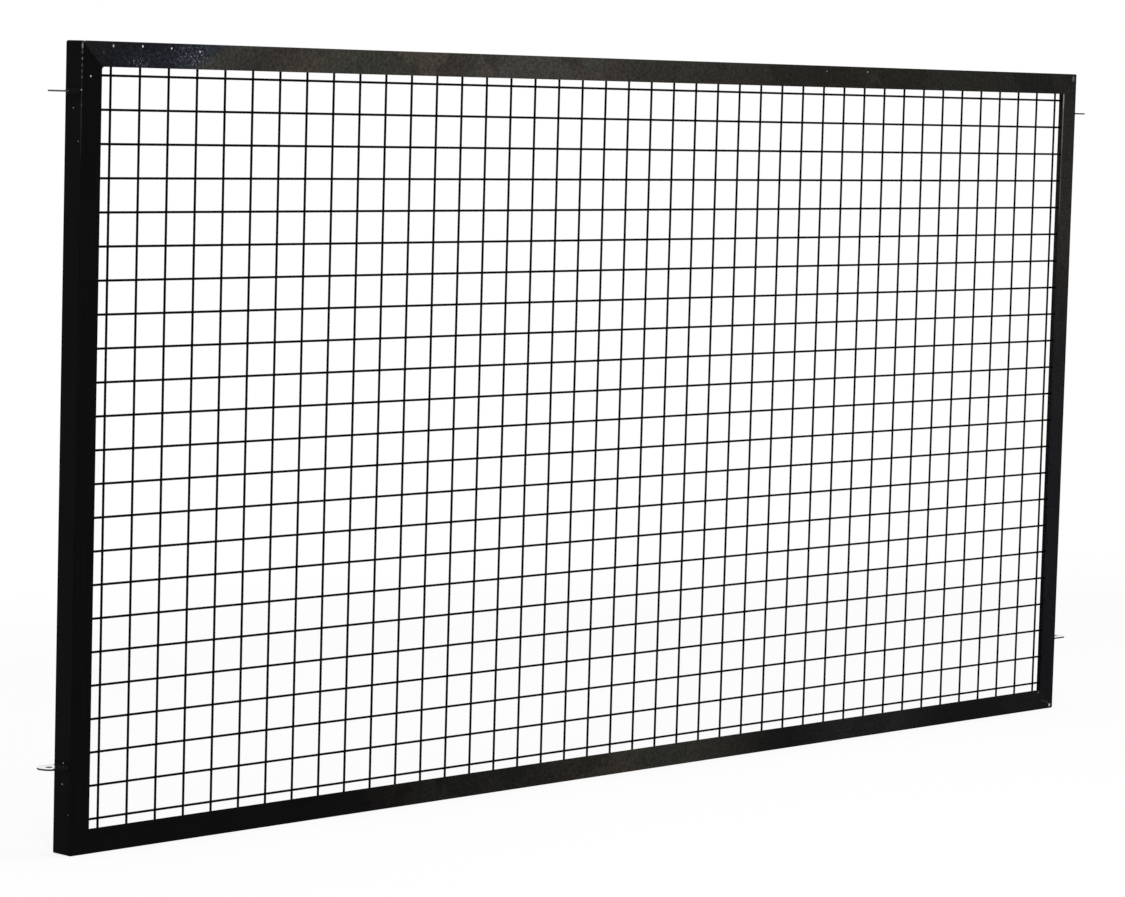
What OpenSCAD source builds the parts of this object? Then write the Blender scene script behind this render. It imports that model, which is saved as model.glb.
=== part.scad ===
// Welded wire mesh partition panel in a mitred angle frame, with four bolt lugs.
// Millimetres. The origin is the bottom centre of the panel, midway through its depth.
// +X runs along the width, +Z is up, and the front of the panel faces -Y.

/* [Panel] */
// Width over the stiles' outer faces
panel_w = 2438.4; // [1500:0.1:3000]
// Height over the rails' outer faces
panel_h = 1219.2; // [900:0.1:1500]

/* [Mesh] */
// Number of upright wires, spread evenly over the width
columns = 42; // [4:1:42]
// Number of level wires, spread evenly over the height
rows = 23; // [4:1:23]
// Diameter of a wire
wire_d = 3.77; // [2:0.01:5]
// From a stile's inner edge to the nearest upright wire's centre
side_margin = 20.8; // [10:0.1:50]
// From a rail's inner edge to the nearest level wire's centre
end_margin = 12.7; // [10:0.1:50]
// From the angle's root fillet to the wires' ends
wire_end_gap = 4.7; // [2:0.1:8]
// Gap between the backs of the front flanges and the upright wires
flange_gap = 0.3; // [0.1:0.1:0.9]

/* [Frame angle] */
// Width of each leg of the angle, which is also the depth of the panel
leg = 38.1; // [30:0.1:60]
// Thickness of the angle
leg_t = 3.2; // [2:0.1:6]
// Radius of the fillet between the legs
root_r = 4.8; // [1:0.1:6]
// Radius of the rounded inner edge at the end of each leg
toe_r = 2.4; // [0.5:0.1:3]
// Radius of the outer edge where the legs meet
heel_r = 1; // [0.3:0.1:1.5]
// Radius to which the panel's corners are ground
corner_r = 4; // [1:0.1:6]

/* [Lugs] */
// From the front and back of the stile to the edges of a lug
lug_edge = 0.8; // [0.5:0.1:6]
// Thickness of a lug
lug_t = 2.7; // [2:0.1:6]
// From the stile to the round end of a lug, taken as a whole circle
lug_neck = 7.15; // [0:0.05:20]
// Diameter of the bolt hole
bolt_hole_d = 9.525; // [5:0.005:16]
// From the panel's top to the underside of the upper lugs
upper_lug_drop = 76.2; // [40:0.1:300]
// From the panel's bottom to the underside of the lower lugs
lower_lug_rise = 133.35; // [40:0.05:300]

/* [Welds] */
// Size of the fillet weld inside each corner of the frame
corner_weld = 6; // [3:0.1:10]
// Radius of the bead along the back of each mitre
seam_r = 2.5; // [1:0.1:4]
// Size of the fillet welds above and below a lug
lug_weld = 4; // [2:0.1:8]
// Thickness of weld metal over a wire
weld_cover = 0.8; // [0.4:0.1:2]
// How much wider than the wire's cover its weld is at the foot, on each side
weld_flare = 2; // [0.5:0.1:5]
// Length of a wire's weld
weld_len = 9; // [4:0.1:18]
// How much of that length is past the end of the wire
weld_past = 1.5; // [0.5:0.1:1.8]
// How far a lug's welds stop short of its edges
lug_weld_gap = 1.2; // [0.5:0.1:5]

/* [Hidden] */
$fn = 48;
// Cuts run past the surfaces they cut by this much
over = 1;

frame_color = "#1b1b1c";
wire_color = "#161617";
lug_color = "#b4b7ba";
weld_color = "#242424";

column_pitch = (panel_w - 2 * (leg + side_margin)) / (columns - 1);
row_pitch = (panel_h - 2 * (leg + end_margin)) / (rows - 1);
front = -leg / 2;
flange_back = front + leg_t;
// The inner face of each leg is flat from the root fillet to the toe
toe = min(toe_r, leg_t);
flat_from = leg_t + root_r;
flat_to = leg - toe;

// The upright wires lie behind the front flanges, and the level wires lie against the upright ones
upright_y = flange_back + flange_gap + wire_d / 2;
level_y = upright_y + wire_d;
wire_inset = flat_from + wire_end_gap;
wires_in_pair = 2;
pairs = ceil(columns / wires_in_pair);

// The bolt hole is at the centre of the lug's half round end
lug_w = leg - 2 * lug_edge;
lug_reach = lug_neck + lug_w / 2;

sides = ["left", "right"];
levels = ["upper", "lower"];
ends = ["top", "bottom"];

function two_digits(n) = str(n < 10 ? "0" : "", n);
function level_name(row) = str("level_wire_", two_digits(row));
function pair_name(pair) = str("upright_wire_pair_", two_digits(pair));
function lug_name(level, side) = str(level, "_", side, "_lug");
function corner_weld_name(end, side) = str(end, "_", side, "_corner_weld");

function row_z(row) = leg + end_margin + (row - 1) * row_pitch;
function column_x(column) = -panel_w / 2 + leg + side_margin + (column - 1) * column_pitch;
function lug_z(level) = level == "upper" ? panel_h - upper_lug_drop : lower_lug_rise;

// What is left of a square corner outside a quarter circle that touches both its sides
module inside_fillet(size) {
    difference() {
        square(size);
        translate([size, size]) circle(size);
    }
}

// Puts what is drawn for the left side on the named side
module on_side(side) {
    if (side == "right") mirror([1, 0, 0]) children();
    else children();
}

// Puts what is drawn for the bottom at the named end
module at_end(end) {
    if (end == "top") translate([0, 0, panel_h]) mirror([0, 0, 1]) children();
    else children();
}

// ---- Frame ----

// Cross-section of the angle: x is the depth from the front, y the distance in from the outer face
module angle_profile() {
    difference() {
        union() {
            square([leg_t, leg]);
            square([leg, leg_t]);
            translate([leg_t, leg_t]) inside_fillet(root_r);
        }
        inside_fillet(heel_r);
        translate([leg_t, leg]) rotate(180) inside_fillet(toe);
        translate([leg, leg_t]) rotate(180) inside_fillet(toe);
    }
}

// Takes away what lies past the mitre, and rounds the panel's corner
module mitre_cut() {
    rotate([0, 45, 0]) translate([-2 * leg, -over, -leg]) cube([2 * leg, leg + 2 * over, 3 * leg]);
    rotate([90, 0, 0]) translate([0, 0, -leg - over]) linear_extrude(leg + 2 * over)
        difference() {
            translate([-over, -over]) square(corner_r + over);
            translate([corner_r, corner_r]) circle(corner_r);
        }
}

// A length of angle centred on the origin along X, its outer face on z = 0 and both ends mitred
module frame_member(length) {
    color(frame_color)
        translate([-length / 2, front, 0])
            difference() {
                rotate([90, 0, 90]) linear_extrude(length) angle_profile();
                mitre_cut();
                translate([length, 0, 0]) mirror([1, 0, 0]) mitre_cut();
            }
}

module rail(end) {
    at_end(end) frame_member(panel_w);
}

module stile(side) {
    on_side(side) translate([-panel_w / 2, 0, panel_h / 2]) rotate([0, 90, 0]) frame_member(panel_h);
}

// ---- Mesh ----

module level_wire(row) {
    length = panel_w - 2 * wire_inset;
    color(wire_color)
        translate([-length / 2, level_y, row_z(row)]) rotate([0, 90, 0]) cylinder(h = length, d = wire_d);
}

module upright_wire(column) {
    color(wire_color)
        translate([column_x(column), upright_y, wire_inset])
            cylinder(h = panel_h - 2 * wire_inset, d = wire_d);
}

module upright_pair(pair) {
    first = (pair - 1) * wires_in_pair + 1;
    for (column = [first:min(first + wires_in_pair - 1, columns)]) upright_wire(column);
}

// ---- Lugs ----

// A level plate on the stile's outer face, with a round end and an upright bolt hole
module lug(level, side) {
    color(lug_color)
        on_side(side) translate([-panel_w / 2 - lug_reach, 0, lug_z(level)])
            difference() {
                union() {
                    cylinder(h = lug_t, d = lug_w);
                    translate([0, -lug_w / 2, 0]) cube([lug_reach, lug_w, lug_t]);
                }
                translate([0, 0, -over]) cylinder(h = lug_t + 2 * over, d = bolt_hole_d);
            }
}

// ---- Welds ----

// A fillet between the outer flanges inside a corner, and a bead along the back of the mitre
module corner_welds(end, side) {
    seam_from = flat_from + seam_r;
    seam = (flat_to - seam_from) * sqrt(2);
    color(weld_color)
        on_side(side) at_end(end) translate([-panel_w / 2, 0, 0]) {
            translate([leg_t, front + flat_to, leg_t]) rotate([90, 0, 0])
                linear_extrude(flat_to - flat_from) inside_fillet(corner_weld);
            intersection() {
                translate([seam_from, flange_back, seam_from]) rotate([0, 45, 0])
                    cylinder(h = seam, r = seam_r);
                translate([0, flange_back, 0]) cube(leg);
            }
        }
}

// Weld metal on the back of a flange, around a wire's end at the origin.
// The wire runs along +Z, with its centre at this depth behind the flange.
module wire_weld(depth) {
    r = wire_d / 2 + weld_cover;
    color(weld_color)
        difference() {
            translate([0, 0, -weld_past]) linear_extrude(weld_len) {
                polygon([[-r - weld_flare, 0], [r + weld_flare, 0], [r, depth], [-r, depth]]);
                translate([0, depth]) intersection() {
                    circle(r);
                    translate([-r, 0]) square([2 * r, r]);
                }
            }
            translate([0, depth, 0]) cylinder(h = weld_len, d = wire_d);
        }
}

module upright_wire_welds() {
    for (column = [1:columns], end = ends)
        at_end(end) translate([column_x(column), flange_back, wire_inset])
            wire_weld(upright_y - flange_back);
}

module level_wire_welds() {
    for (row = [1:rows], side = sides)
        on_side(side) translate([-panel_w / 2 + wire_inset, flange_back, row_z(row)]) rotate([0, 90, 0])
            wire_weld(level_y - flange_back);
}

// Fillets above and below each lug, along the stile
module lug_welds() {
    length = lug_w - 2 * lug_weld_gap;
    color(weld_color)
        for (level = levels, side = sides)
            on_side(side) translate([-panel_w / 2, 0, lug_z(level)]) {
                translate([0, length / 2, lug_t]) rotate([90, 0, 0])
                    linear_extrude(length) mirror([1, 0]) inside_fillet(lug_weld);
                translate([0, length / 2, 0]) rotate([90, 0, 0])
                    linear_extrude(length) rotate(180) inside_fillet(lug_weld);
            }
}

// ---- Assembly ----

rail("top");  // top_rail
rail("bottom");  // bottom_rail
stile("left");  // left_stile
stile("right");  // right_stile
for (level = levels, side = sides)
    lug(level, side);
for (row = [1:rows])
    level_wire(row);
for (pair = [1:pairs])
    upright_pair(pair);
for (end = ends, side = sides)
    corner_welds(end, side);
upright_wire_welds();
level_wire_welds();
lug_welds();
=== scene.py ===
# Welded wire mesh partition panel in a mitred angle frame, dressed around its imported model.
# Metres, in the model's own frame: +X along the width, +Z up, the front towards -Y.
import math
import random

import bmesh
import bpy
from mathutils import Matrix, Vector


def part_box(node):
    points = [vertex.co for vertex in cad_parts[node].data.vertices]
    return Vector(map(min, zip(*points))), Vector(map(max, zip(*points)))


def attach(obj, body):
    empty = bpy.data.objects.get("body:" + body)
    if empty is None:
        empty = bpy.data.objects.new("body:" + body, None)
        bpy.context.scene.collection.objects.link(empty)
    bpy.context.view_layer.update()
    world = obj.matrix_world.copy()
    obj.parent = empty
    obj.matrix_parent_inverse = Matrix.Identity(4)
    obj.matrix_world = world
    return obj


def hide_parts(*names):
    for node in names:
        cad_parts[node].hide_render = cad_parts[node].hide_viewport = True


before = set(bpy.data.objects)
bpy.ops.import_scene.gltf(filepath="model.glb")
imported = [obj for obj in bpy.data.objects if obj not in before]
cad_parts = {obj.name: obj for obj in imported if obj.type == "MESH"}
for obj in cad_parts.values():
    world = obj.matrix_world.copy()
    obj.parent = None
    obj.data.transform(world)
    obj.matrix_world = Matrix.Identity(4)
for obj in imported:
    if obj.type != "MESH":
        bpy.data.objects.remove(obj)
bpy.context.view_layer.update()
mm = 0.001
dice = random.Random(11)  # one fixed seed, so every run is the same

stileLow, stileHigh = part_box("left_stile")
panel = {
    "width": -2 * stileLow.x,
    "height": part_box("top_rail")[1].z,
    "leg": stileHigh.y - stileLow.y,
    "front": stileLow.y,
}
width, height = panel["width"], panel["height"]
frontY = panel["front"]
print("frame loaded")


# Working with pieces

flatAngle = 1  # degrees, under which faces count as one flat face
samePlace = 0.001 * mm  # under which two points count as one


def near(a, b, gap=0.02 * mm):
    return abs(a - b) < gap


def deselectAll():
    if bpy.context.mode != "OBJECT":
        bpy.ops.object.mode_set(mode="OBJECT")
    bpy.ops.object.select_all(action="DESELECT")


def workOn(piece):
    deselectAll()
    piece.select_set(True)
    bpy.context.view_layer.objects.active = piece


def applyPlace(piece):
    workOn(piece)
    bpy.ops.object.transform_apply(location=True, rotation=True, scale=True)


def applyModifier(piece, kind, **settings):
    workOn(piece)
    modifier = piece.modifiers.new(kind, kind)
    for name, value in settings.items():
        setattr(modifier, name, value)
    bpy.ops.object.modifier_apply(modifier=modifier.name)


# Opens the piece with just those edges selected whose two ends pass the test
def pickEdges(piece, wanted):
    workOn(piece)
    bpy.ops.object.mode_set(mode="EDIT")
    bpy.ops.mesh.select_mode(type="EDGE")
    bpy.ops.mesh.select_all(action="DESELECT")
    shape = bmesh.from_edit_mesh(piece.data)
    for edge in shape.edges:
        if wanted(edge.verts[0].co, edge.verts[1].co):
            edge.select_set(True)
    bmesh.update_edit_mesh(piece.data)


# Cuts away what lies on the side of the plane that its normal points to, and closes the cut.
# With a coarser threshold than this, cuts through small beads would stay open.
def cutOff(piece, point, normal):
    workOn(piece)
    bpy.ops.object.mode_set(mode="EDIT")
    bpy.ops.mesh.select_all(action="SELECT")
    bpy.ops.mesh.bisect(
        plane_co=point, plane_no=normal, use_fill=True, clear_outer=True, threshold=samePlace
    )
    bpy.ops.object.mode_set(mode="OBJECT")


def copyPiece(piece, place):
    copy = piece.copy()
    copy.data = piece.data.copy()
    copy.data.transform(place)
    bpy.context.collection.objects.link(copy)
    return copy


def joinPieces(pieces):
    deselectAll()
    for piece in pieces:
        piece.select_set(True)
    bpy.context.view_layer.objects.active = pieces[0]
    bpy.ops.object.join()
    return pieces[0]


def remove(piece):
    bpy.data.objects.remove(piece)


# A turn about the panel's depth, and then a move
def turned(degrees, place):
    return Matrix.Translation(place) @ Matrix.Rotation(math.radians(degrees), 4, "Y")


# Edges that bend more than this stay sharp
def smooth(piece, degrees):
    workOn(piece)
    bpy.ops.object.shade_smooth_by_angle(angle=math.radians(degrees))


def finishPiece(piece, name, material, slot, *nodes):
    piece.name = piece.data.name = name
    piece.data.materials.clear()
    piece.data.materials.append(material)
    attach(piece, "root")
    if nodes:
        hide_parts(*nodes)
    return piece


# Materials

def colour(hexColour):
    channels = [int(hexColour[i:i + 2], 16) / 255 for i in (1, 3, 5)]
    linear = [c / 12.92 if c <= 0.04045 else ((c + 0.055) / 1.055) ** 2.4 for c in channels]
    return (*linear, 1.0)


# Settings name a socket, by name or number, or else a property of the node
def addNode(tree, kind, settings=None, links=None):
    node = tree.nodes.new("ShaderNode" + kind)
    for key, value in (settings or {}).items():
        if isinstance(key, int) or key in node.inputs:
            node.inputs[key].default_value = value
        else:
            setattr(node, key, value)
    for key, source in (links or {}).items():
        socket = source.outputs[0] if hasattr(source, "outputs") else source
        tree.links.new(socket, node.inputs[key])
    return node


def newMaterial(name):
    material = bpy.data.materials.new(name)
    material.use_nodes = True
    material.node_tree.nodes.clear()
    return material, material.node_tree


noiseSpan = (0.3, 0.7)  # nearly all values of a noise lie in here

enamel = {
    "black": "#030304",
    "thin": "#0c0c0d",  # where the film is thin over a streak of the bar
    "pale": "#cfcdc8",
    "specular": 0.02,
    "roughness": (0.40, 0.55),
    "streakWidth": 3 * mm,
    "streakLength": 90 * mm,
    "peel": 1.5 * mm,
    "peelHeight": 0.02 * mm,
    "cloud": 130 * mm,
    "spotEdge": 0.6,  # share of a pale spot's size that is wholly pale
    "ragStep": 2 * mm,
    "raggedness": 1.2 * mm,
}
# Painted sheen: patches, grain and tint of the lighter tones that stand in for reflections, and real dust
sheenAndDustLook = {
    "patch": 95 * mm,
    "patchEdge": 45 * mm,
    "patchShare": (0.78, 1.22),
    "warmTint": (1.09, 0.98, 0.95, 1.0),
    "coolTint": (0.95, 1.02, 1.0, 1.0),
    "grain": 5 * mm,  # grain of the painted sheen; a finer grain wouldn't show from the camera
    "grainShare": (0.6, 1.4),
    "dustGrain": 2.2 * mm,
    "dustCover": (0.57, 0.66),  # of the grain's noise, from clean film to full dust
    "dustEdge": 0.3,
    "dust": "#a9b1c0",
}


# Satin enamel sprayed on hot-rolled bar: nearly black, a faint broad sheen, and thin streaks along the bar.
# The painted sheen gives lighter tones where lamps would reflect, with real dust in places, and spots are
# blisters over wire ends and painted highlights on ground corners and edges.
def blackEnamel(name, along, sheenAndDust=None, spots=()):
    material, tree = newMaterial(name)
    place = addNode(tree, "TexCoord").outputs["Object"]
    axis = "xyz".index(along)
    stretch = [1 / enamel["streakWidth"]] * 3
    stretch[axis] = 1 / enamel["streakLength"]
    drawn = addNode(tree, "Mapping", {"Scale": stretch}, {"Vector": place})
    streaks = addNode(tree, "TexNoise", {"Scale": 1.0, "Detail": 4.0}, {"Vector": drawn})
    peel = addNode(tree, "TexNoise", {"Scale": 1 / enamel["peel"], "Detail": 2.0}, {"Vector": place})
    clouds = addNode(tree, "TexNoise", {"Scale": 1 / enamel["cloud"], "Detail": 3.0}, {"Vector": place})
    film = addNode(
        tree, "Mix", {"data_type": "RGBA", 6: colour(enamel["black"]), 7: colour(enamel["thin"])},
        {0: streaks},
    ).outputs[2]
    if sheenAndDust:
        film = paintSheenAndDust(tree, place, axis, film, sheenAndDust)
    if spots:
        film = spotted(tree, place, film, spots)
    roughness = addNode(
        tree, "MapRange",
        {"From Min": noiseSpan[0], "From Max": noiseSpan[1],
         "To Min": enamel["roughness"][0], "To Max": enamel["roughness"][1]},
        {"Value": clouds},
    )
    relief = addNode(tree, "Math", {"operation": "ADD"}, {0: peel, 1: streaks})
    bump = addNode(tree, "Bump", {"Strength": 1.0, "Distance": enamel["peelHeight"]}, {"Height": relief})
    shader = addNode(
        tree, "BsdfPrincipled", {"Specular IOR Level": enamel["specular"]},
        {"Base Color": film, "Roughness": roughness, "Normal": bump},
    )
    addNode(tree, "OutputMaterial", links={"Surface": shader})
    return material


# How near a point is to any of some places, each with its middle, half sizes and share.
# A place's share is whole out to this edge, and none at its full size.
def nearPlaces(tree, where, places, edge):
    most = None
    for at, size, share in places:
        offset = addNode(tree, "VectorMath", {"operation": "SUBTRACT", 1: at}, {0: where})
        shares = addNode(tree, "VectorMath", {"operation": "DIVIDE", 1: size}, {0: offset})
        reach = addNode(tree, "VectorMath", {"operation": "LENGTH"}, {0: shares}).outputs["Value"]
        inside = addNode(
            tree, "MapRange", {"From Min": 1.0, "From Max": edge, "To Min": 0.0, "To Max": share},
            {"Value": reach},
        )
        if most:
            inside = addNode(tree, "Math", {"operation": "MAXIMUM"}, {0: most, 1: inside})
        most = inside
    return most


# Moves each point a little, so that what is drawn there gets a ragged edge
def wandering(tree, place, size, far):
    noise = addNode(tree, "TexNoise", {"Scale": 1 / size, "Detail": 1.0}, {"Vector": place})
    centred = addNode(
        tree, "VectorMath", {"operation": "SUBTRACT", 1: (0.5, 0.5, 0.5)}, {0: noise.outputs["Color"]}
    )
    return addNode(tree, "VectorMath", {"operation": "MULTIPLY_ADD", 1: [far] * 3}, {0: centred, 2: place})


# Painted sheen over the film: a few lighter tones along the bar that stand in for reflections of the lamps,
# in warmer and cooler patches, grainy, and real dust in places.
# Lean is how far back along the bar the tones move for each metre up.
def paintSheenAndDust(tree, place, axis, film, sheenAndDust):
    axes = addNode(tree, "SeparateXYZ", links={0: place})
    lean, tones = sheenAndDust["lean"], sheenAndDust["tones"]
    leaning = addNode(
        tree, "Math", {"operation": "MULTIPLY_ADD", 1: lean},
        {0: axes.outputs["Z"], 2: axes.outputs[axis]},
    )
    shift = lean * (height - panel["leg"] / 2)
    start, end = tones[0][0], tones[-1][0]
    share = addNode(
        tree, "MapRange", {"From Min": start + shift, "From Max": end + shift}, {"Value": leaning}
    )
    ramp = addNode(tree, "ValToRGB", links={0: share})
    ramp.color_ramp.interpolation = "EASE"
    steps = ramp.color_ramp.elements
    for at, tone in tones[1:-1]:
        steps.new((at - start) / (end - start)).color = colour(tone)
    steps[0].color = colour(tones[0][1])
    steps[-1].color = colour(tones[-1][1])
    patches = addNode(
        tree, "TexVoronoi", {"Scale": 1 / sheenAndDustLook["patch"]},
        {"Vector": wandering(tree, place, sheenAndDustLook["patchEdge"] / 2, sheenAndDustLook["patchEdge"])},
    )
    kinds = addNode(tree, "SeparateColor", links={0: patches.outputs["Color"]})
    tint = addNode(
        tree, "Mix", {"data_type": "RGBA", 6: sheenAndDustLook["warmTint"], 7: sheenAndDustLook["coolTint"]},
        {0: kinds.outputs["Green"]},
    ).outputs[2]
    depth = addNode(
        tree, "MapRange", {"To Min": sheenAndDustLook["patchShare"][0], "To Max": sheenAndDustLook["patchShare"][1]},
        {"Value": kinds.outputs["Red"]},
    )
    powder = addNode(tree, "TexNoise", {"Scale": 1 / sheenAndDustLook["grain"], "Detail": 2.0}, {"Vector": place})
    grainy = addNode(
        tree, "MapRange",
        {"From Min": noiseSpan[0], "From Max": noiseSpan[1],
         "To Min": sheenAndDustLook["grainShare"][0], "To Max": sheenAndDustLook["grainShare"][1]},
        {"Value": powder},
    )
    both = addNode(tree, "Math", {"operation": "MULTIPLY"}, {0: depth, 1: grainy})
    shaded = addNode(tree, "VectorMath", {"operation": "SCALE"}, {0: ramp, "Scale": both})
    tinted = addNode(tree, "VectorMath", {"operation": "MULTIPLY"}, {0: shaded, 1: tint})
    film = addNode(tree, "VectorMath", {"operation": "MAXIMUM"}, {0: tinted, 1: film})
    if sheenAndDust.get("dusty"):
        grit = addNode(
            tree, "TexNoise", {"Scale": 1 / sheenAndDustLook["dustGrain"], "Detail": 3.0, "Roughness": 0.7},
            {"Vector": place},
        )
        speck = addNode(
            tree, "MapRange",
            {"From Min": sheenAndDustLook["dustCover"][0], "From Max": sheenAndDustLook["dustCover"][1]},
            {"Value": grit},
        )
        dusty = nearPlaces(tree, place, sheenAndDust["dusty"], sheenAndDustLook["dustEdge"])
        settled = addNode(tree, "Math", {"operation": "MULTIPLY"}, {0: speck, 1: dusty})
        film = addNode(
            tree, "Mix", {"data_type": "RGBA", 7: colour(sheenAndDustLook["dust"])}, {0: settled, 6: film}
        ).outputs[2]
    return film


# Pale places with ragged edges: blisters, and painted highlights on ground corners and along edges
def spotted(tree, place, film, spots):
    ragged = wandering(tree, place, enamel["ragStep"], enamel["raggedness"])
    pale = nearPlaces(tree, ragged, spots, enamel["spotEdge"])
    return addNode(
        tree, "Mix", {"data_type": "RGBA", 7: colour(enamel["pale"])}, {0: pale, 6: film}
    ).outputs[2]


zinc = {
    "light": "#f0f1f2",
    "dark": "#d9dcde",
    "roughness": (0.10, 0.22),
    "spangle": 5 * mm,
    "stain": 6 * mm,
    "brush": 0.5 * mm,
    "brushHeight": 0.01 * mm,
}


# Bright zinc plate on the faces of the strip: smooth light metal with faint crystal patches
def zincPlate(name):
    material, tree = newMaterial(name)
    place = addNode(tree, "TexCoord").outputs["Object"]
    crystals = addNode(tree, "TexVoronoi", {"Scale": 1 / zinc["spangle"]}, {"Vector": place})
    shade = addNode(tree, "SeparateColor", links={0: crystals.outputs["Color"]})
    stain = addNode(tree, "TexNoise", {"Scale": 1 / zinc["stain"], "Detail": 5.0}, {"Vector": place})
    mixed = addNode(tree, "Math", {"operation": "MULTIPLY"}, {0: shade, 1: stain})
    metal = addNode(
        tree, "Mix", {"data_type": "RGBA", 6: colour(zinc["light"]), 7: colour(zinc["dark"])}, {0: mixed}
    )
    roughness = addNode(
        tree, "MapRange", {"To Min": zinc["roughness"][0], "To Max": zinc["roughness"][1]}, {"Value": stain}
    )
    fine = addNode(tree, "TexNoise", {"Scale": 1 / zinc["brush"], "Detail": 2.0}, {"Vector": place})
    bump = addNode(tree, "Bump", {"Strength": 1.0, "Distance": zinc["brushHeight"]}, {"Height": fine})
    shader = addNode(
        tree, "BsdfPrincipled", {"Metallic": 1.0},
        {"Base Color": metal.outputs[2], "Roughness": roughness, "Normal": bump},
    )
    addNode(tree, "OutputMaterial", links={"Surface": shader})
    return material


sheared = {
    "root": "#0c0b0b",
    "rootReach": 22 * mm,  # how far the enamel has run along the edge from the stile
    "tipReach": 34 * mm,
    "tear": 0.8 * mm,
    "tearHeight": 0.05 * mm,
    "tornShare": (0.55, 1.0),
    "metallic": 0.6,
    "roughness": 0.6,
    "specular": 0.1,
}


# The strip's sheared edge: dull torn steel, black with enamel next to the stile
def shearedSteel(name, tip):
    material, tree = newMaterial(name)
    place = addNode(tree, "TexCoord").outputs["Object"]
    tear = addNode(tree, "TexNoise", {"Scale": 1 / sheared["tear"], "Detail": 4.0}, {"Vector": place})
    axes = addNode(tree, "SeparateXYZ", links={0: place})
    outwards = addNode(tree, "Math", {"operation": "ABSOLUTE"}, {0: axes.outputs["X"]})
    pale = addNode(
        tree, "MapRange",
        {"interpolation_type": "SMOOTHSTEP", "From Min": width / 2 + sheared["rootReach"],
         "From Max": width / 2 + sheared["tipReach"]},
        {"Value": outwards},
    )
    torn = addNode(
        tree, "MapRange", {"To Min": sheared["tornShare"][0], "To Max": sheared["tornShare"][1]},
        {"Value": tear},
    )
    share = addNode(tree, "Math", {"operation": "MULTIPLY"}, {0: pale, 1: torn})
    metal = addNode(
        tree, "Mix", {"data_type": "RGBA", 6: colour(sheared["root"]), 7: colour(tip)}, {0: share}
    )
    bump = addNode(tree, "Bump", {"Strength": 1.0, "Distance": sheared["tearHeight"]}, {"Height": tear})
    shader = addNode(
        tree, "BsdfPrincipled",
        {"Metallic": sheared["metallic"], "Roughness": sheared["roughness"],
         "Specular IOR Level": sheared["specular"]},
        {"Base Color": metal.outputs[2], "Normal": bump},
    )
    addNode(tree, "OutputMaterial", links={"Surface": shader})
    return material


scaly = {
    "scale": 1.2 * mm,
    "scaleHeight": 0.06 * mm,
    "roughness": (0.3, 0.6),
    # colours where the coat is thick and where it is thin
    "wire": ("#040405", "#0a0a0b"),
    "weld": ("#070708", "#121213"),
    "shadeInHole": ("#020202", "#080807"),
    "rubbed": ("#8a8782", "#c4c2bd"),
}


# Enamel over drawn wire or weld metal, weld metal rubbed bare, or painted shade in a hole: scaly, with a
# faint sheen
def scalyCoat(name, thick, thin):
    material, tree = newMaterial(name)
    place = addNode(tree, "TexCoord").outputs["Object"]
    scale = addNode(tree, "TexNoise", {"Scale": 1 / scaly["scale"], "Detail": 4.0}, {"Vector": place})
    coat = addNode(
        tree, "Mix", {"data_type": "RGBA", 6: colour(thick), 7: colour(thin)}, {0: scale}
    )
    roughness = addNode(
        tree, "MapRange", {"To Min": scaly["roughness"][0], "To Max": scaly["roughness"][1]},
        {"Value": scale},
    )
    bump = addNode(tree, "Bump", {"Strength": 1.0, "Distance": scaly["scaleHeight"]}, {"Height": scale})
    shader = addNode(
        tree, "BsdfPrincipled", {"Specular IOR Level": enamel["specular"]},
        {"Base Color": coat.outputs[2], "Roughness": roughness, "Normal": bump},
    )
    addNode(tree, "OutputMaterial", links={"Surface": shader})
    return material


# Frame: hot-rolled equal angle, mitred, welded and ground round at the corners

angleIron = {
    "thickness": 3.2 * mm,
    "rootRadius": 4.8 * mm,
    "rootSteps": 8,
    "toeRadius": 2.4 * mm,
    "toeSteps": 5,
    "toeEdge": 0.5 * mm,  # a rolled edge is never quite sharp
    "edgeSteps": 2,
    "heelRadius": 1.0 * mm,
    "heelSteps": 4,
    "cornerRadius": 4.0 * mm,
    "cornerCuts": 3,
    "mitreGroove": 0.3 * mm,
    "smoothUnder": 35,  # degrees
}


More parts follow.
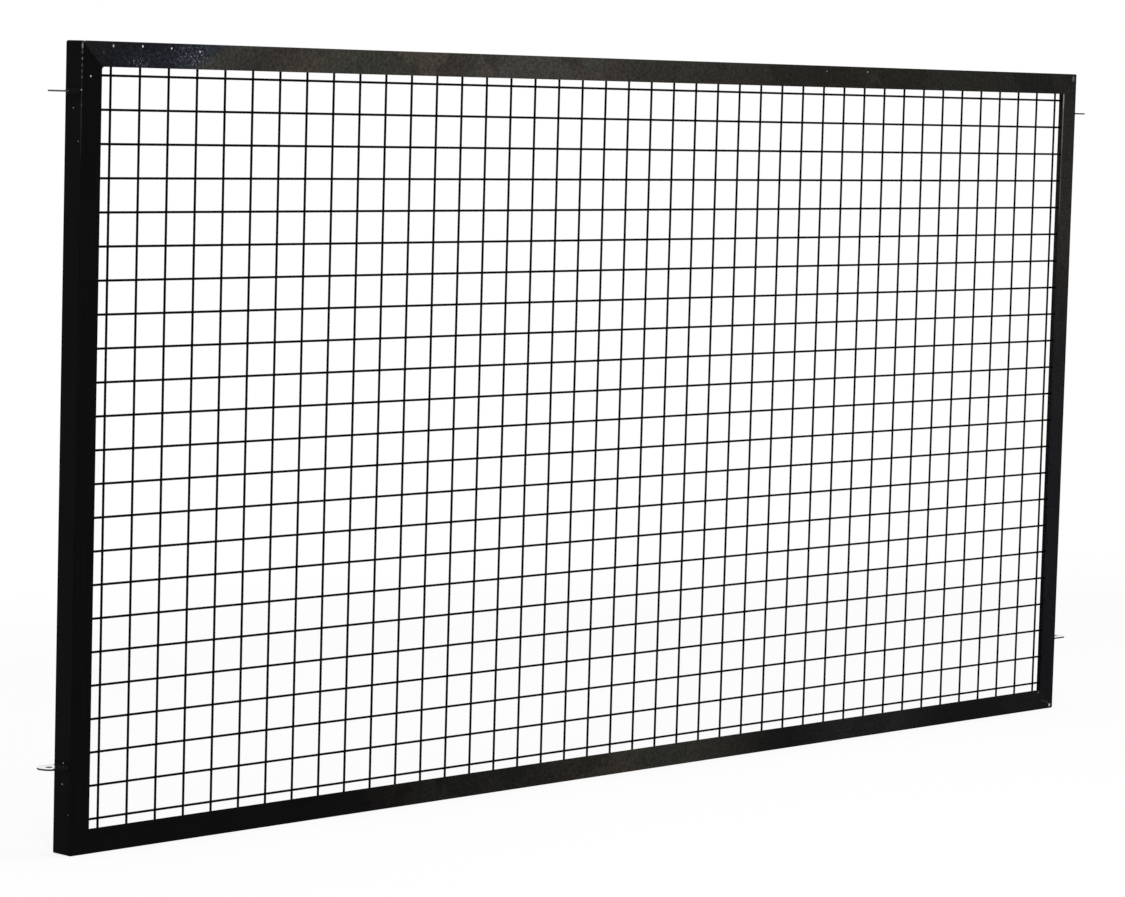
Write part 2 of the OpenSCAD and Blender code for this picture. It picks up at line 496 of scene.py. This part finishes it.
# A length of angle lying along X, its outer face on z = 0 and its flat face to the front
def modelAngle(length):
    leg, front = panel["leg"], panel["front"]
    thickness = angleIron["thickness"]
    inner, back = front + thickness, front + leg
    deselectAll()
    bpy.ops.mesh.primitive_plane_add(
        size=thickness, location=(-length / 2, front + thickness / 2, thickness / 2),
        rotation=(0, math.pi / 2, 0),
    )
    bar = bpy.context.object
    applyPlace(bar)
    pickEdges(bar, lambda a, b: near(a.z, thickness) and near(b.z, thickness))
    bpy.ops.mesh.extrude_edges_move(TRANSFORM_OT_translate={"value": (0, 0, leg - thickness)})
    pickEdges(bar, lambda a, b: near(a.y, inner) and near(b.y, inner) and a.z + b.z < 1.5 * thickness)
    bpy.ops.mesh.extrude_edges_move(TRANSFORM_OT_translate={"value": (0, leg - thickness, 0)})
    bpy.ops.mesh.select_all(action="SELECT")
    bpy.ops.mesh.extrude_region_move(TRANSFORM_OT_translate={"value": (length, 0, 0)})
    bpy.ops.mesh.select_all(action="SELECT")
    bpy.ops.mesh.normals_make_consistent(inside=False)
    bpy.ops.mesh.dissolve_limited(angle_limit=math.radians(flatAngle))
    for y, z, size, steps in (
        (inner, thickness, angleIron["rootRadius"], angleIron["rootSteps"]),
        (inner, leg, angleIron["toeRadius"], angleIron["toeSteps"]),
        (back, thickness, angleIron["toeRadius"], angleIron["toeSteps"]),
        (front, leg, angleIron["toeEdge"], angleIron["edgeSteps"]),
        (back, 0, angleIron["toeEdge"], angleIron["edgeSteps"]),
        (front, 0, angleIron["heelRadius"], angleIron["heelSteps"]),
    ):
        pickEdges(bar, lambda a, b: all(near(v.y, y) and near(v.z, z) for v in (a, b)))
        bpy.ops.mesh.bevel(offset=size, segments=steps, affect="EDGES")
    for side in (-1, 1):
        tip = side * length / 2
        cutOff(bar, (tip, 0, 0), (side, 0, 1))
        pickEdges(bar, lambda a, b: all(near(v.y, front) and near(side * (tip - v.x), v.z) for v in (a, b)))
        bpy.ops.mesh.bevel(offset=angleIron["mitreGroove"], segments=1, affect="EDGES")
        radius = angleIron["cornerRadius"]
        for cut in range(angleIron["cornerCuts"]):
            lean = math.radians(45) * (cut + 0.5) / angleIron["cornerCuts"]
            out = Vector((side * math.sin(lean), 0, -math.cos(lean)))
            cutOff(bar, Vector((tip - side * radius, 0, radius)) + radius * out, out)
    # Where a groove runs out at the toe, the bevel leaves two points in one place
    workOn(bar)
    bpy.ops.object.mode_set(mode="EDIT")
    bpy.ops.mesh.select_all(action="SELECT")
    bpy.ops.mesh.remove_doubles(threshold=samePlace)
    bpy.ops.object.mode_set(mode="OBJECT")
    return bar


# The frame's sides: how far each is turned from the bottom rail, and where its middle is
leftX, rightX = -width / 2, width / 2
sides = {
    "bottomRail": {"node": "bottom_rail", "turn": 0, "middle": (0, 0, 0), "length": width},
    "leftStile": {"node": "left_stile", "turn": 90, "middle": (leftX, 0, height / 2), "length": height},
    "topRail": {"node": "top_rail", "turn": 180, "middle": (0, 0, height), "length": width},
    "rightStile": {"node": "right_stile", "turn": 270, "middle": (rightX, 0, height / 2), "length": height},
}

# The mesh is measured before the frame is painted, because marks on the frame lie over the wires' ends
mesh = {
    "columns": 42,
    "rows": 23,
    "wiresInPair": 2,
    "sidesOfWire": 16,
    "croppedEdge": 0.4 * mm,
    "nuggetReach": 2.1 * mm,
    "nuggetDepth": 0.9 * mm,
    "nuggetSides": 8,
    "nuggetRings": 6,
    "smoothUnder": 40,  # degrees
}
pairLow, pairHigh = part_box("upright_wire_pair_01")
levelLow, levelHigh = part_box("level_wire_01")
wireRadius = (pairHigh.y - pairLow.y) / 2
uprightY = (pairLow.y + pairHigh.y) / 2
levelY = (levelLow.y + levelHigh.y) / 2
endInset = pairLow.z
flangeBack = frontY + angleIron["thickness"]
firstColumn, firstRow = pairLow.x + wireRadius, levelLow.z + wireRadius
columnPitch = -2 * firstColumn / (mesh["columns"] - 1)
rowPitch = (height - 2 * firstRow) / (mesh["rows"] - 1)
columns = range(1, mesh["columns"] + 1)
rows = range(1, mesh["rows"] + 1)


def columnX(column):
    return firstColumn + (column - 1) * columnPitch


def rowZ(row):
    return firstRow + (row - 1) * rowPitch


markDepth = 2.5 * mm


# A place on the front of the frame: its middle, its half sizes across and up, and its share.
# x is in metres, and the other sizes are in millimetres.
def markAt(x, z, across, up, share):
    return ((x, frontY, z * mm), (across * mm, markDepth, up * mm), share)


# Blisters in the film over the ends of wires welded behind it, ground steel at the corners painted bright
# as a highlight, and painted highlights along the stiles' heel and toe edges
toeX = rightX - panel["leg"]
# painted highlight on the ground bottom right corner, partly ground steel, and a pale dot by the window's
# corner
bottomCornerHighlight = [
    markAt(rightX - 9.5 * mm, 6.2, 2.8, 3.4, 1.0),
    markAt(rightX - 15 * mm, 10.8, 3.5, 1.8, 0.07),
    markAt(rightX - 21 * mm, 13.6, 4.0, 1.6, 0.06),
    markAt(rightX - 31 * mm, 16.2, 6.5, 1.5, 0.05),
    markAt(rightX - 46 * mm, 33.5, 2.0, 1.8, 0.2),
]
# painted highlight on the ground top right corner
topCornerHighlight = [markAt(rightX - 10 * mm, 1210.2, 4.5, 6.5, 0.13)]
filmSpotsAndHighlights = {
    "topRail": [
        markAt(columnX(1), 1212.6, 1.7, 2.6, 0.7),
        markAt(columnX(2), 1213.2, 1.5, 2.2, 1.0),
        markAt(columnX(3), 1211.7, 1.5, 2.0, 0.9),
        markAt(columnX(4), 1207.9, 1.5, 1.7, 0.9),
        markAt(columnX(30), 1209.5, 1.5, 1.6, 0.45),
        markAt(columnX(32), 1210.6, 1.5, 1.8, 0.75),
        markAt(-1178.7 * mm, 1202.3, 0.9, 0.9, 0.3),
        # painted highlight on the ground top left corner
        markAt(leftX + 3 * mm, 1218.6, 4, 1.0, 0.35),
    ] + topCornerHighlight,
    "leftStile": [
        markAt(leftX + 16.5 * mm, 1166.9, 1.4, 1.4, 0.8),
        # painted highlight along the heel edge, brightest at the top and fading down
        markAt(leftX, 1211.5, 1.2, 6.5, 0.35),
        markAt(leftX, 1202, 1.1, 3.5, 0.12),
        markAt(leftX, 1192.5, 1.2, 2.6, 0.25),
        markAt(leftX, 1183, 1.0, 3.5, 0.1),
        markAt(leftX, 1174, 1.0, 3.5, 0.1),
        markAt(leftX, 1165, 0.8, 3.0, 0.14),
        markAt(leftX, 1124, 0.7, 4.0, 0.08),
        markAt(leftX, 1120, 0.6, 90, 0.03),
    ],
    "rightStile": [
        # painted highlight along the toe edge, fading down
        markAt(toeX, 1170, 1.8, 28, 0.4),
        markAt(toeX, 1120, 1.5, 75, 0.17),
        markAt(toeX, 1010, 1.2, 85, 0.09),
    ] + topCornerHighlight + bottomCornerHighlight,
    "bottomRail": bottomCornerHighlight,
}
# Painted sheen on the film, lighter where lamps would reflect: its tones by their place along the bar in
# metres, and the dusty places
filmSheenAndDust = {
    "topRail": {
        "lean": -1.8,
        "tones": [
            (-1.205, "#18181a"), (-1.15, "#16161b"), (-1.03, "#1e2027"), (-0.985, "#272a30"),
            (-0.95, "#353430"), (-0.85, "#2d2c29"), (-0.74, "#363530"), (-0.20, "#353330"),
            (0.40, "#25221e"), (1.20, "#1c1c1a"),
        ],
        "dusty": [
            markAt(-1.075, 1199, 120, 24, 0.10),
            markAt(-1.112, 1189, 32, 12, 0.46),
            markAt(-1.005, 1199, 56, 24, 0.50),
            markAt(-0.350, 1190, 30, 14, 0.15),
        ],
    },
    "bottomRail": {
        "lean": 0.0,
        "tones": [
            (-1.20, "#030304"), (-0.75, "#040405"), (-0.30, "#1c1b19"), (0.12, "#2f2e2a"),
            (0.45, "#131212"), (0.65, "#1d1c1c"), (0.93, "#0d0d0e"), (1.20, "#111112"),
        ],
    },
    "rightStile": {
        "lean": 0.0,
        "tones": [(0.0, "#0d0d11"), (0.65, "#151519"), (0.9, "#242220"), (1.22, "#1f1e1d")],
    },
}

for length in (width, height):
    master = modelAngle(length)
    for name, side in sides.items():
        if side["length"] == length:
            bar = copyPiece(master, turned(side["turn"], side["middle"]))
            smooth(bar, angleIron["smoothUnder"])
            applyModifier(bar, "WEIGHTED_NORMAL", keep_sharp=True)
            along = "x" if length == width else "z"
            film = blackEnamel("satinBlackEnamel_" + name, along, filmSheenAndDust.get(name), filmSpotsAndHighlights[name])
            finishPiece(bar, name, film, "frame_paint", side["node"])
    remove(master)
print("frame members done")


# Mesh: drawn wires, the upright ones in front, with a nugget of flash at each resistance-welded crossing

# A wire along X or Z, with cropped ends
def modelWire(length, centre, along):
    deselectAll()
    bpy.ops.mesh.primitive_cylinder_add(
        vertices=mesh["sidesOfWire"], radius=wireRadius, depth=length, location=centre,
        rotation=(0, math.pi / 2, 0) if along == "x" else (0, 0, 0),
    )
    wire = bpy.context.object
    applyPlace(wire)
    axis = "xyz".index(along)
    for end in (centre[axis] - length / 2, centre[axis] + length / 2):
        pickEdges(wire, lambda a, b: near(a[axis], end) and near(b[axis], end))
        bpy.ops.mesh.bevel(offset=mesh["croppedEdge"], segments=1, affect="EDGES")
    deselectAll()
    return wire


wireFilm = scalyCoat("dippedBlackEnamel", *scaly["wire"])
contactY = uprightY + wireRadius

levelMaster = modelWire(width - 2 * endInset, (0, levelY, rowZ(1)), "x")
deselectAll()
bpy.ops.mesh.primitive_uv_sphere_add(
    segments=mesh["nuggetSides"], ring_count=mesh["nuggetRings"], radius=1,
    location=(columnX(1), contactY, rowZ(1)),
    scale=(mesh["nuggetReach"], mesh["nuggetDepth"], mesh["nuggetReach"]),
)
nuggets = bpy.context.object
applyPlace(nuggets)
applyModifier(
    nuggets, "ARRAY", count=mesh["columns"], use_relative_offset=False, use_constant_offset=True,
    constant_offset_displace=(columnPitch, 0, 0),
)
levelMaster = joinPieces([levelMaster, nuggets])
smooth(levelMaster, mesh["smoothUnder"])
for row in rows:
    wire = copyPiece(levelMaster, Matrix.Translation((0, 0, rowZ(row) - rowZ(1))))
    finishPiece(wire, f"levelWire{row:02d}", wireFilm, "wire_paint", f"level_wire_{row:02d}")
remove(levelMaster)

uprightMaster = modelWire(height - 2 * endInset, (columnX(1), uprightY, height / 2), "z")
applyModifier(
    uprightMaster, "ARRAY", count=mesh["wiresInPair"], use_relative_offset=False, use_constant_offset=True,
    constant_offset_displace=(columnPitch, 0, 0),
)
smooth(uprightMaster, mesh["smoothUnder"])
for pair in range(1, mesh["columns"] // mesh["wiresInPair"] + 1):
    shift = (pair - 1) * mesh["wiresInPair"] * columnPitch
    wires = copyPiece(uprightMaster, Matrix.Translation((shift, 0, 0)))
    finishPiece(wires, f"uprightWires{pair:02d}", wireFilm, "wire_paint", f"upright_wire_pair_{pair:02d}")
remove(uprightMaster)
print("mesh done")


# Welds over the wires' ends: short puddles on the back of the front flange

puddle = {
    "halfWidth": 4.0 * mm,
    "halfLength": 4.5 * mm,
    "pastEnd": 1.5 * mm,
    "cover": 0.8 * mm,
    "sunk": 0.1 * mm,
    "lumps": 0.35 * mm,
    "sides": 12,
    "rings": 8,
    "smoothUnder": 60,  # degrees
    "shapes": 3,
    "sizes": (0.88, 1.06),
}


# A puddle with its foot on y = 0, over the end of a wire that runs up from the origin at this depth
def modelPuddle(depth, seed):
    deselectAll()
    top = depth + wireRadius + puddle["cover"]
    bpy.ops.mesh.primitive_uv_sphere_add(
        segments=puddle["sides"], ring_count=puddle["rings"], radius=1,
        scale=(puddle["halfWidth"], top, puddle["halfLength"]),
        location=(0, 0, puddle["halfLength"] - puddle["pastEnd"]),
    )
    blob = bpy.context.object
    applyPlace(blob)
    bpy.ops.object.mode_set(mode="EDIT")
    bpy.ops.mesh.select_all(action="SELECT")
    bpy.ops.transform.vertex_random(offset=puddle["lumps"], uniform=0.0, normal=0.0, seed=seed)
    bpy.ops.object.mode_set(mode="OBJECT")
    cutOff(blob, (0, -puddle["sunk"], 0), (0, -1, 0))
    smooth(blob, puddle["smoothUnder"])
    return blob


def layPuddles(depth, places):
    masters = [modelPuddle(depth, seed) for seed in range(puddle["shapes"])]
    laid = []
    for count, place in enumerate(places):
        size = dice.uniform(*puddle["sizes"])
        laid.append(copyPiece(masters[count % len(masters)], place @ Matrix.Diagonal((size, 1, size, 1))))
    for blob in masters:
        remove(blob)
    return joinPieces(laid)


uprightEnds = [turned(0, (columnX(column), flangeBack, endInset)) for column in columns]
uprightEnds += [turned(180, (columnX(column), flangeBack, height - endInset)) for column in columns]
levelEnds = [turned(90, (leftX + endInset, flangeBack, rowZ(row))) for row in rows]
levelEnds += [turned(270, (rightX - endInset, flangeBack, rowZ(row))) for row in rows]
weldFilm = scalyCoat("blackEnamelOnWeld", *scaly["weld"])
uprightWelds = layPuddles(uprightY - flangeBack, uprightEnds)
finishPiece(uprightWelds, "uprightWireWelds", weldFilm, "weld_paint", "upright_wire_welds")
levelWelds = layPuddles(levelY - flangeBack, levelEnds)
finishPiece(levelWelds, "levelWireWelds", weldFilm, "weld_paint", "level_wire_welds")
print("wire welds done")


# Beads: a row of leaning, overlapping discs of weld metal, melted into one

bead = {
    "ripple": 1.7 * mm,
    "lean": 25,  # degrees
    "unevenness": 0.07,
    "grain": 0.4 * mm,
    "melting": 3,  # rounds of smoothing
    "sunk": 0.1 * mm,
    "sides": 20,
    "rings": 12,
    "smoothUnder": 50,  # degrees
}


def modelBead(start, end, radius):
    deselectAll()
    bpy.ops.mesh.primitive_uv_sphere_add(segments=bead["sides"], ring_count=bead["rings"], radius=radius)
    disc = bpy.context.object
    bpy.ops.object.mode_set(mode="EDIT")
    bpy.ops.mesh.select_all(action="SELECT")
    bpy.ops.transform.resize(value=(bead["ripple"] / radius, 1, 1), center_override=(0, 0, 0))
    bpy.ops.transform.rotate(
        value=math.radians(bead["lean"]), orient_axis="Z", center_override=(0, 0, 0)
    )
    bpy.ops.object.mode_set(mode="OBJECT")
    along = end - start
    count = round(along.length / bead["ripple"])
    turn = along.to_track_quat("X", "Z").to_matrix().to_4x4()
    discs = []
    for step in range(count):
        size = 1 + dice.uniform(-1, 1) * bead["unevenness"]
        centre = start + along * ((step + 0.5) / count)
        discs.append(copyPiece(disc, Matrix.Translation(centre) @ turn @ Matrix.Scale(size, 4)))
    remove(disc)
    row = joinPieces(discs)
    applyModifier(row, "REMESH", mode="VOXEL", voxel_size=bead["grain"], use_smooth_shade=True)
    applyModifier(row, "SMOOTH", factor=0.5, iterations=bead["melting"])
    return row


# A fillet along Y in the corner between the walls x = 0 and z = 0
def modelFillet(length, size):
    ends = length / 2 - bead["ripple"]
    row = modelBead(Vector((0, -ends, 0)), Vector((0, ends, 0)), size)
    cutOff(row, (-bead["sunk"], 0, 0), (-1, 0, 0))
    cutOff(row, (0, 0, -bead["sunk"]), (0, 0, -1))
    smooth(row, bead["smoothUnder"])
    return row


cornerWeld = {
    "filletSize": 5.6 * mm,
    "seamRadius": 2.6 * mm,
    "flatFrom": 8.0 * mm,  # the leg is flat from its root fillet to its toe
    "flatTo": 35.7 * mm,
    "seamInset": (3.5 * mm, 1.5 * mm),  # from the flat's two ends
    "windowFill": 4.2 * mm,
    "windowFillSunk": 0.2 * mm,
    "windowFillSteps": 32,  # in a whole circle
}
legMiddle = frontY + (cornerWeld["flatFrom"] + cornerWeld["flatTo"]) / 2
insideFillet = modelFillet(cornerWeld["flatTo"] - cornerWeld["flatFrom"], cornerWeld["filletSize"])
seamFrom = cornerWeld["flatFrom"] + cornerWeld["seamInset"][0]
seamTo = cornerWeld["flatTo"] - cornerWeld["seamInset"][1]
seam = modelBead(
    Vector((seamFrom, flangeBack, seamFrom)), Vector((seamTo, flangeBack, seamTo)), cornerWeld["seamRadius"]
)
cutOff(seam, (0, flangeBack - bead["sunk"], 0), (0, -1, 0))
smooth(seam, bead["smoothUnder"])
corners = {
    "bottomLeft": {"node": "bottom_left_corner_weld", "turn": 0, "at": (leftX, 0, 0)},
    "topLeft": {"node": "top_left_corner_weld", "turn": 90, "at": (leftX, 0, height)},
    "topRight": {"node": "top_right_corner_weld", "turn": 180, "at": (rightX, 0, height)},
    "bottomRight": {"node": "bottom_right_corner_weld", "turn": 270, "at": (rightX, 0, 0)},
}
thickness = angleIron["thickness"]
for name, corner in corners.items():
    place = turned(corner["turn"], corner["at"])
    fillet = copyPiece(insideFillet, place @ Matrix.Translation((thickness, legMiddle, thickness)))
    welds = joinPieces([fillet, copyPiece(seam, place)])
    finishPiece(welds, name + "CornerWeld", weldFilm, "weld_paint", corner["node"])
remove(insideFillet)
remove(seam)

# Weld metal that has run through the mitre and rounds the window's top left corner
fill = cornerWeld["windowFill"]
cornerX, cornerZ = leftX + panel["leg"], height - panel["leg"]
deselectAll()
bpy.ops.mesh.primitive_cube_add(
    size=1, location=(cornerX + fill / 2, flangeBack - 0.5 * thickness, cornerZ - fill / 2),
    scale=(fill, thickness - 2 * cornerWeld["windowFillSunk"], fill),
)
windowFill = bpy.context.object
applyPlace(windowFill)
deselectAll()
bpy.ops.mesh.primitive_cylinder_add(
    vertices=cornerWeld["windowFillSteps"], radius=fill, depth=4 * thickness,
    location=(cornerX + fill, flangeBack, cornerZ - fill), rotation=(math.pi / 2, 0, 0),
)
hollow = bpy.context.object
applyModifier(windowFill, "BOOLEAN", operation="DIFFERENCE", object=hollow)
remove(hollow)
finishPiece(windowFill, "windowCornerFill", weldFilm, "weld_paint")
print("corner welds done")


# Lugs: sheared strip with a round end and a punched hole, welded level on the stiles' outer faces

lugPlate = {
    "steps": 64,
    "holeRadius": 4.7625 * mm,
    "edge": 0.25 * mm,
    "edgeSteps": 2,
    "holeRim": 0.6 * mm,  # rolled in by the punch, and painted near black as shade
    "rimSteps": 3,
    "weldSize": 3.8 * mm,
    "weldGap": 1.2 * mm,
    "smoothUnder": 35,  # degrees
    # the sheared edges' far colour, lighter on the upper lugs and darker on the lower ones
    "upperLugEdge": "#62615f",
    "lowerLugEdge": "#181716",
}
lugLow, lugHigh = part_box("lower_left_lug")
lugRadius = (lugHigh.y - lugLow.y) / 2
lugThickness = lugHigh.z - lugLow.z
holeX = lugLow.x + lugRadius


def modelLug():
    deselectAll()
    bpy.ops.mesh.primitive_circle_add(
        vertices=lugPlate["steps"], radius=lugRadius, fill_type="NGON", location=(holeX, 0, 0)
    )
    plate = bpy.context.object
    applyPlace(plate)
    cutOff(plate, (holeX, 0, 0), (1, 0, 0))
    pickEdges(plate, lambda a, b: near(a.x, holeX) and near(b.x, holeX))
    bpy.ops.mesh.extrude_edges_move(TRANSFORM_OT_translate={"value": (lugHigh.x - holeX, 0, 0)})
    bpy.ops.mesh.select_all(action="SELECT")
    bpy.ops.mesh.extrude_region_move(TRANSFORM_OT_translate={"value": (0, 0, lugThickness)})
    bpy.ops.mesh.select_all(action="SELECT")
    bpy.ops.mesh.normals_make_consistent(inside=False)
    bpy.ops.mesh.dissolve_limited(angle_limit=math.radians(flatAngle))
    deselectAll()
    bpy.ops.mesh.primitive_cylinder_add(
        vertices=lugPlate["steps"] // 2, radius=lugPlate["holeRadius"], depth=4 * lugThickness,
        location=(holeX, 0, 0),
    )
    punch = bpy.context.object
    applyModifier(plate, "BOOLEAN", operation="DIFFERENCE", object=punch)
    remove(punch)

    def level(a, b):
        return near(a.z, b.z) and (near(a.z, 0) or near(a.z, lugThickness))

    def around(a, b, radius):
        return all(near(math.hypot(v.x - holeX, v.y), radius, 0.05 * mm) for v in (a, b))

    def onEdge(a, b):
        atEnd = around(a, b, lugRadius) and max(a.x, b.x) < holeX + mm
        return level(a, b) and (atEnd or near(a.y, b.y) and near(abs(a.y), lugRadius))

    pickEdges(plate, onEdge)
    bpy.ops.mesh.bevel(offset=lugPlate["edge"], segments=lugPlate["edgeSteps"], affect="EDGES")
    pickEdges(plate, lambda a, b: level(a, b) and around(a, b, lugPlate["holeRadius"]))
    bpy.ops.mesh.bevel(offset=lugPlate["holeRim"], segments=lugPlate["rimSteps"], affect="EDGES")
    deselectAll()
    smooth(plate, lugPlate["smoothUnder"])
    return plate


zincFilm = zincPlate("brightZincPlate")
upperLugEdge = shearedSteel("shearedSteelUpper", lugPlate["upperLugEdge"])
lowerLugEdge = shearedSteel("shearedSteelLower", lugPlate["lowerLugEdge"])
holeShade = scalyCoat("paintedShadeInHole", *scaly["shadeInHole"])
lugMaster = modelLug()
lugs = {
    "upperLeft": {"turn": 0, "node": "upper_left_lug", "edge": upperLugEdge},
    "upperRight": {"turn": 180, "node": "upper_right_lug", "edge": upperLugEdge},
    "lowerLeft": {"turn": 0, "node": "lower_left_lug", "edge": lowerLugEdge},
    "lowerRight": {"turn": 180, "node": "lower_right_lug", "edge": lowerLugEdge},
}
for name, lug in lugs.items():
    lug["z"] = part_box(lug["node"])[0].z
    turn = Matrix.Rotation(math.radians(lug["turn"]), 4, "Z")
    plate = copyPiece(lugMaster, Matrix.Translation((0, 0, lug["z"])) @ turn)
    finishPiece(plate, name + "Lug", zincFilm, "lug_zinc", lug["node"])
    plate.data.materials.append(lug["edge"])
    plate.data.materials.append(holeShade)
    hole = turn @ Vector((holeX, 0, 0))
    for face in plate.data.polygons:
        fromHole = math.hypot(face.center.x - hole.x, face.center.y)
        upright = abs(face.normal.z)
        if upright < 0.99 and fromHole < lugPlate["holeRadius"] + lugPlate["holeRim"]:
            face.material_index = 2  # painted shade, in the hole and on its rim
        elif upright < 0.5:
            face.material_index = 1  # the sheared edge
remove(lugMaster)

lugFillet = modelFillet(2 * (lugRadius - lugPlate["weldGap"]), lugPlate["weldSize"])
lugBeads = []
for lug in lugs.values():
    left = lug["turn"] == 0
    faceX = leftX if left else rightX
    above, below = (270, 180) if left else (0, 90)
    lugBeads.append(copyPiece(lugFillet, turned(above, (faceX, 0, lug["z"] + lugThickness))))
    lugBeads.append(copyPiece(lugFillet, turned(below, (faceX, 0, lug["z"]))))
remove(lugFillet)
finishPiece(joinPieces(lugBeads), "lugWelds", weldFilm, "weld_paint", "lug_welds")
print("lugs done")


# Spatter: small beads that the welding threw, stuck to the steel around the lugs and the wires' ends

spatter = {
    "radii": (0.5 * mm, 1.2 * mm),
    "flatness": 0.6,
    "sides": 8,
    "rings": 6,
    "smoothUnder": 80,  # degrees
    "aroundLug": 9,
    "acrossLug": 0.4,  # of the panel's depth, to each side of its middle
    "lugSpread": 20 * mm,
    "onFlanges": 40,
    "wireSpread": 6 * mm,
    "flangeReach": (10 * mm, 34 * mm),  # from the panel's edge
    # rubbed bare on the left stile, in millimetres: depth from the middle, height, radius
    "pale": (
        (-17.7, 1146.4, 1.3), (0, 1119.7, 0.9), (-12.8, 1070.4, 0.7),
        (-2.2, 139.8, 1.1), (-0.5, 107.9, 0.9), (-15.5, 63.2, 0.5),
    ),
}
deselectAll()
bpy.ops.mesh.primitive_uv_sphere_add(segments=spatter["sides"], ring_count=spatter["rings"], radius=1)
drop = bpy.context.object


# Sticks a drop to a face whose normal is along the named axis
def throwDrop(place, radius, normal):
    size = Vector((radius, radius, radius, 1))
    size["xyz".index(normal)] *= spatter["flatness"]
    return copyPiece(drop, Matrix.Translation(place) @ Matrix.Diagonal(size))


bareDrops = [
    throwDrop((leftX, y * mm, z * mm), radius * mm, "x") for y, z, radius in spatter["pale"]
]
drops = []
for lug in lugs.values():
    faceX = leftX if lug["turn"] == 0 else rightX
    for count in range(spatter["aroundLug"]):
        radius = dice.uniform(*spatter["radii"])
        y = dice.uniform(-spatter["acrossLug"], spatter["acrossLug"]) * panel["leg"]
        z = lug["z"] + dice.gauss(0, spatter["lugSpread"])
        drops.append(throwDrop((faceX, y, z), radius, "x"))
for count in range(spatter["onFlanges"]):
    radius = dice.uniform(*spatter["radii"])
    x = columnX(dice.randint(1, mesh["columns"])) + dice.gauss(0, spatter["wireSpread"])
    z = dice.uniform(*spatter["flangeReach"])
    drops.append(throwDrop((x, flangeBack, z if count % 2 else height - z), radius, "y"))
remove(drop)
painted = joinPieces(drops)
smooth(painted, spatter["smoothUnder"])
finishPiece(painted, "weldSpatter", weldFilm, "weld_paint")
rubbed = joinPieces(bareDrops)
smooth(rubbed, spatter["smoothUnder"])
finishPiece(rubbed, "bareSpatter", scalyCoat("rubbedWeldMetal", *scaly["rubbed"]), "weld_paint")
print("spatter done")


# Camera, floor and light

view = {
    "place": (-5.06438, -4.68515, 1.17834),
    "turn": (84.8311, -1.5916, -46.2137),  # degrees
    "lens": 129.825,
    "sensor": 36.0,
}
cameraData = bpy.data.cameras.new("photoView")
cameraData.lens = view["lens"]
cameraData.sensor_width = view["sensor"]
cameraData.sensor_fit = "HORIZONTAL"
camera = bpy.data.objects.new("photoView", cameraData)
camera.location = view["place"]
camera.rotation_euler = [math.radians(angle) for angle in view["turn"]]
bpy.context.collection.objects.link(camera)
bpy.context.scene.camera = camera

studio = {
    "floorSize": 60.0,
    "floor": "#f4f4f2",
    "floorWhite": (0.85, 1.0),  # share of plain white in the picture, at the panel and far from it
    "floorFade": (1.3, 2.6),  # metres from the panel's middle
    "floorSqueeze": 0.55,  # the white starts along an oval round the panel
    "ambient": 0.55,
    "key": {"at": (-3.4, -3.4, 3.2), "aim": (0, 0, 0.7), "size": 1.6, "watts": 75},
    "top": {"at": (0.5, -1.0, 4.2), "aim": (0, 0, 0.6), "size": 3.0, "watts": 95},
}


# 1 where a ray comes from the camera, a shiny surface or glass, and 0 where it carries light
def seenPlainly(tree):
    rays = addNode(tree, "LightPath")
    shiny = addNode(tree, "Math", {"operation": "MAXIMUM"}, {
        0: rays.outputs["Is Glossy Ray"], 1: rays.outputs["Is Transmission Ray"],
    })
    return addNode(tree, "Math", {"operation": "MAXIMUM"}, {0: rays.outputs["Is Camera Ray"], 1: shiny})


# The backdrop is white in the picture and in reflections, and plain grey as a light
world = bpy.data.worlds.new("studio")
bpy.context.scene.world = world
world.use_nodes = True
tree = world.node_tree
tree.nodes.clear()
ambient = addNode(tree, "Background", {"Color": (1, 1, 1, 1), "Strength": studio["ambient"]})
backdrop = addNode(tree, "Background", {"Color": (1, 1, 1, 1), "Strength": 1.0})
shown = addNode(tree, "MixShader", links={0: seenPlainly(tree), 1: ambient, 2: backdrop})
addNode(tree, "OutputWorld", links={"Surface": shown})

deselectAll()
bpy.ops.mesh.primitive_plane_add(size=studio["floorSize"])
floor = bpy.context.object
floor.name = "floor"
floorPaint, tree = newMaterial("paleFloorPaint")
place = addNode(tree, "TexCoord").outputs["Object"]
squeezed = addNode(tree, "Mapping", {"Scale": (studio["floorSqueeze"], 1.0, 1.0)}, {"Vector": place})
away = addNode(tree, "VectorMath", {"operation": "LENGTH"}, {0: squeezed}).outputs["Value"]
fade = addNode(
    tree, "MapRange",
    {"interpolation_type": "SMOOTHSTEP",
     "From Min": studio["floorFade"][0], "From Max": studio["floorFade"][1],
     "To Min": studio["floorWhite"][0], "To Max": studio["floorWhite"][1]},
    {"Value": away},
)
share = addNode(tree, "Math", {"operation": "MULTIPLY"}, {0: seenPlainly(tree), 1: fade})
matt = addNode(tree, "BsdfDiffuse", {"Color": colour(studio["floor"])})
white = addNode(tree, "Emission", {"Color": (1, 1, 1, 1), "Strength": 1.0})
mixed = addNode(tree, "MixShader", links={0: share, 1: matt, 2: white})
addNode(tree, "OutputMaterial", links={"Surface": mixed})
floor.data.materials.append(floorPaint)

for name in ("key", "top"):
    lamp = studio[name]
    light = bpy.data.lights.new(name, "AREA")
    light.shape = "SQUARE"
    light.size = lamp["size"]
    light.energy = lamp["watts"]
    lampObject = bpy.data.objects.new(name, light)
    lampObject.location = lamp["at"]
    aim = Vector(lamp["aim"]) - Vector(lamp["at"])
    lampObject.rotation_euler = aim.to_track_quat("-Z", "Y").to_euler()
    bpy.context.collection.objects.link(lampObject)

bpy.context.scene.view_settings.view_transform = "Standard"
print("stage done")
